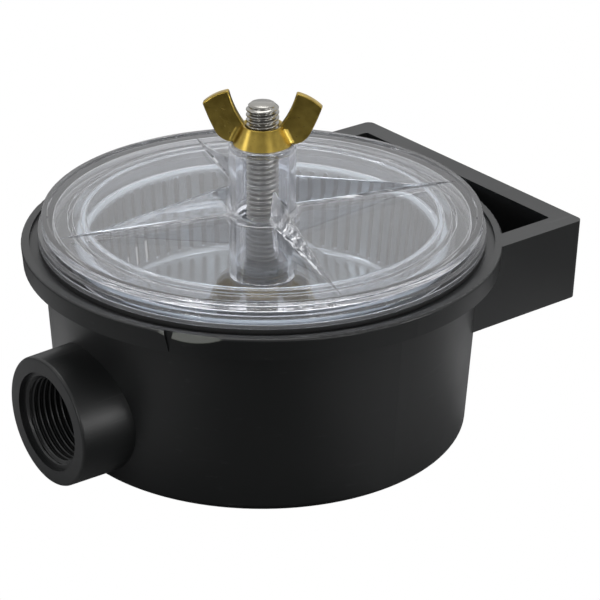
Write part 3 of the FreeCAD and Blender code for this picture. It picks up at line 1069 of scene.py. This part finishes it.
# %% [markdown]
# ## Finish: clear lid
#
# The lid is polished clear plastic with a faint cool cast. A see-through mix would be fast, but it
# bends no light, and the bright lines along the ribs and the rings are bent light. So the shader
# transmits, with the plastic's own index of refraction. It would then throw a nearly black shadow,
# because a ray sent towards a lamp stops at it. Shadow rays therefore meet a nearly clear shader
# instead, and light reaches the basket and the post.

# %% Clear lid's plastic
lid_tint = (0.943, 0.955, 0.985, 1)
lid_shadow_tint = (0.93, 0.935, 0.95, 1)
lid_index = 1.58
lid_clearness = 0.98


def blended(tree, mask, first, second, output):
    """Sends the first shader to an output where the mask is 0, and the second where it is 1."""
    mix = tree.nodes.new("ShaderNodeMixShader")
    tree.links.new(mask, mix.inputs["Fac"])
    tree.links.new(first, mix.inputs[1])
    tree.links.new(second, mix.inputs[2])
    tree.links.new(mix.outputs["Shader"], output.inputs["Surface"])


def clear_plastic():
    """Clear polycarbonate with a faint cool cast. Shadow rays pass, so the inside is lit."""
    material, tree, shader, output = new_material("clear_polycarbonate")
    set_inputs(shader, {"Base Color": lid_tint, "Roughness": 0.0, "IOR": lid_index})
    shader.inputs["Transmission Weight"].default_value = lid_clearness
    clear = tree.nodes.new("ShaderNodeBsdfTransparent")
    clear.inputs["Color"].default_value = lid_shadow_tint
    mask = tree.nodes.new("ShaderNodeLightPath").outputs["Is Shadow Ray"]
    blended(tree, mask, shader.outputs["BSDF"], clear.outputs["BSDF"], output)
    return material


dress(lid, clear_plastic())
print("materials:", len(bpy.data.materials))

# %% [markdown]
# ## White to the camera, a room to the object
#
# The photograph is pure white all round, yet the pot is deep black, and glossy plastic can't be
# black in an all-white room, because it mirrors what is round it. Stronger lights could whiten the
# floor, but they would grey the pot. So the floor and the surroundings are white to rays straight
# from the camera, and a room with bright and dark sides to all others. What is seen through the
# clear lid gets a share of both.


# %% Rays and ramps
def seen_directly(tree, through_lid):
    """1 for rays from the camera, a given share for rays through the lid, and 0 for all others."""
    path = tree.nodes.new("ShaderNodeLightPath")
    share = tree.nodes.new("ShaderNodeMath")
    share.operation = "MULTIPLY_ADD"
    share.use_clamp = True
    share.inputs[1].default_value = through_lid
    tree.links.new(path.outputs["Is Transmission Ray"], share.inputs[0])
    tree.links.new(path.outputs["Is Camera Ray"], share.inputs[2])
    return share.outputs["Value"]


room_cast = (1.0, 1.003, 1.01)


def brightness_ramp(tree, value, stops):
    """Nearly grey ramp over a value, from (position, brightness) stops."""
    node = tree.nodes.new("ShaderNodeValToRGB")
    elements = node.color_ramp.elements
    while len(elements) < len(stops):
        elements.new(0.5)  # each gets its own position next
    for element, (position, level) in zip(elements, stops):
        element.position = position
        element.color = (*(level * share for share in room_cast), 1)
    tree.links.new(value, node.inputs["Fac"])
    return node.outputs["Color"]


print("the room's faint cast:", room_cast)

# %% [markdown]
# ## Floor
#
# The strainer stands on a white sweep. The pot's upright wall mirrors the floor round its foot, so
# the floor's brightness by direction shades the wall: dark in the middle of the front, and paler
# towards both sides. Lights could do the same, but they would brighten the tops too. A ramp round
# the object is direct, and it fades out a short way from the pot.

# %% The floor's white
white = (1, 1, 1, 1)
floor_through_lid = 0.2
floor_roughness = 0.9
pool_radius = 0.125
pool_end = 0.175
outside_pool = 0.2
floor_stops = [
    (0.12, 0.04), (0.25, 0.25), (0.45, 0.75), (0.62, 0.40), (0.9, 0.34), (0.985, 0.05),
]


def towards_camera(tree, place):
    """1 on the camera's side of the object, a half beside it and 0 behind it."""
    level = vector_math(tree, "MULTIPLY", place, (1, 1, 0))
    unit = vector_math(tree, "NORMALIZE", level.outputs["Vector"])
    to_camera = (math.sin(view_azimuth), -math.cos(view_azimuth), 0)
    side = vector_math(tree, "DOT_PRODUCT", unit.outputs["Vector"], to_camera)
    return remap(tree, side.outputs["Value"], -1.0, 1.0)


def floor_white():
    """Plain white to the camera. The pot's wall mirrors it dark in front and paler at the sides."""
    material, tree, shader, output = new_material("floor_white")
    place = own_place(tree)
    distance = vector_math(tree, "LENGTH", place)
    around = brightness_ramp(tree, towards_camera(tree, place), floor_stops)
    pool = vector_math(tree, "SCALE", around)
    fade = remap(tree, distance.outputs["Value"], pool_radius, pool_end, 1.0, outside_pool)
    tree.links.new(fade, pool.inputs["Scale"])
    tree.links.new(pool.outputs["Vector"], shader.inputs["Base Color"])
    shader.inputs["Roughness"].default_value = floor_roughness
    glow = tree.nodes.new("ShaderNodeEmission")
    glow.inputs["Color"].default_value = white
    mask = seen_directly(tree, floor_through_lid)
    blended(tree, mask, shader.outputs["BSDF"], glow.outputs["Emission"], output)
    return material


print("the pool of light ends at", pool_end, "m")

# %% Floor
floor_size = 6.0
floor_drop = 0.05 * MM


def make_floor():
    """A large square just under the pot's foot."""
    data = bpy.data.meshes.new("floor")
    half = floor_size / 2
    corners = [(-half, -half, 0), (half, -half, 0), (half, half, 0), (-half, half, 0)]
    data.from_pydata(corners, [], [(0, 1, 2, 3)])
    floor = add_object("floor", data)
    floor.location.z = -floor_drop
    data.materials.append(floor_white())
    return floor


floor = make_floor()
print("floor", floor_size, "m wide, in", floor.data.materials[0].name)

# %% [markdown]
# ## Surroundings
#
# A studio has a bright sheet behind and above the object, which pales the lid and the top faces,
# and a dark room behind the camera, which keeps the pot's wall black. Real sheets could be built as
# glowing planes, but they would show in other views. The world does the same with two ramps over
# the height, blended from the camera's side to the far side.

# %% Surroundings
world_through_lid = 0.3
near_side_stops = [(0.0, 0.04), (0.25, 0.22), (0.5, 0.4), (1.0, 0.75)]
far_side_stops = [(0.0, 0.85), (0.6, 0.92), (1.0, 0.75)]
far_side_starts = -0.15
far_side_full = 0.35


def make_world():
    """Surroundings: white to the camera, and to the object bright behind, dark in front."""
    world = bpy.data.worlds.new("studio")
    bpy.context.scene.world = world
    world.use_nodes = True
    tree = world.node_tree
    tree.nodes.clear()
    output = tree.nodes.new("ShaderNodeOutputWorld")
    plain = tree.nodes.new("ShaderNodeBackground")
    plain.inputs["Color"].default_value = white
    room = tree.nodes.new("ShaderNodeBackground")
    direction = tree.nodes.new("ShaderNodeTexCoord").outputs["Generated"]
    split = tree.nodes.new("ShaderNodeSeparateXYZ")
    tree.links.new(direction, split.inputs["Vector"])
    from_camera = (-math.sin(view_azimuth), math.cos(view_azimuth), 0)
    away = vector_math(tree, "DOT_PRODUCT", direction, from_camera)
    blend = tree.nodes.new("ShaderNodeMix")
    blend.data_type = "RGBA"
    behind = remap(tree, away.outputs["Value"], far_side_starts, far_side_full)
    near_side = brightness_ramp(tree, split.outputs["Z"], near_side_stops)
    far_side = brightness_ramp(tree, split.outputs["Z"], far_side_stops)
    feed(tree, blend, {"Factor": behind, "A": near_side, "B": far_side})
    tree.links.new(blend.outputs["Result"], room.inputs["Color"])
    mask = seen_directly(tree, world_through_lid)
    blended(tree, mask, room.outputs["Background"], plain.outputs["Background"], output)
    return world


print("surroundings:", make_world().name)

# %% [markdown]
# ## Lights
#
# Five soft boxes give what the surroundings can't: crisp highlights. One hangs over the far side
# and brightens the tops. One at each side of the camera shapes the pot. Two small low ones draw the
# streak along the inlet's side and lift the threads in its bore. Point lamps would leave hard
# shadows and tiny highlights, so rectangles are used. The camera sees none, but the lid may show
# them in its bends.

# %% Lights
lamps = (
    # name, place, what it looks at, width and height, watts
    ("overhead", (-0.30, 0.24, 1.25), (0, 0, 0.05), (0.9, 0.3), 5.5),
    ("left", (-0.5, -1.1, 0.55), (0, 0, 0.04), (0.25, 0.5), 1.6),
    ("right", (1.2, -0.15, 0.28), (0, 0, 0.04), (0.35, 0.5), 2.2),
    ("low_right", (0.72, 0.42, 0.11), (0, -0.04, 0.03), (0.25, 0.2), 1.6),
    ("low_front", (0.30, -0.80, 0.16), (0, -0.07, 0.02), (0.12, 0.2), 1.2),
)


def add_lamp(name, place, target, size, watts):
    """Soft rectangular light that looks at a target."""
    data = bpy.data.lights.new(name, "AREA")
    data.shape = "RECTANGLE"
    data.size, data.size_y = size
    data.energy = watts
    light = add_object(name, data)
    light.location = place
    facing = (Vector(target) - Vector(place)).to_track_quat("-Z", "Y")
    light.rotation_euler = facing.to_euler()
    light.visible_camera = False


for lamp in lamps:
    add_lamp(*lamp)
print("lights:", len(bpy.data.lights))

# %% [markdown]
# ## How light and colour reach the picture
#
# The Standard view shows a colour as it is written. A filmic one would soften the highlights, but
# the white would turn grey. Light turns many times between the lid's ribs, skirts and plate before
# it comes out again. With the usual number of turns the ribs look like slate, so more are allowed.

# %% View and light paths
bpy.context.scene.view_settings.view_transform = "Standard"
turns_through_lid = 32
turns_off_gloss = 16
light_paths = bpy.context.scene.cycles
light_paths.max_bounces = turns_through_lid
light_paths.transmission_bounces = turns_through_lid
light_paths.glossy_bounces = turns_off_gloss
print("light may turn", turns_through_lid, "times on its way")
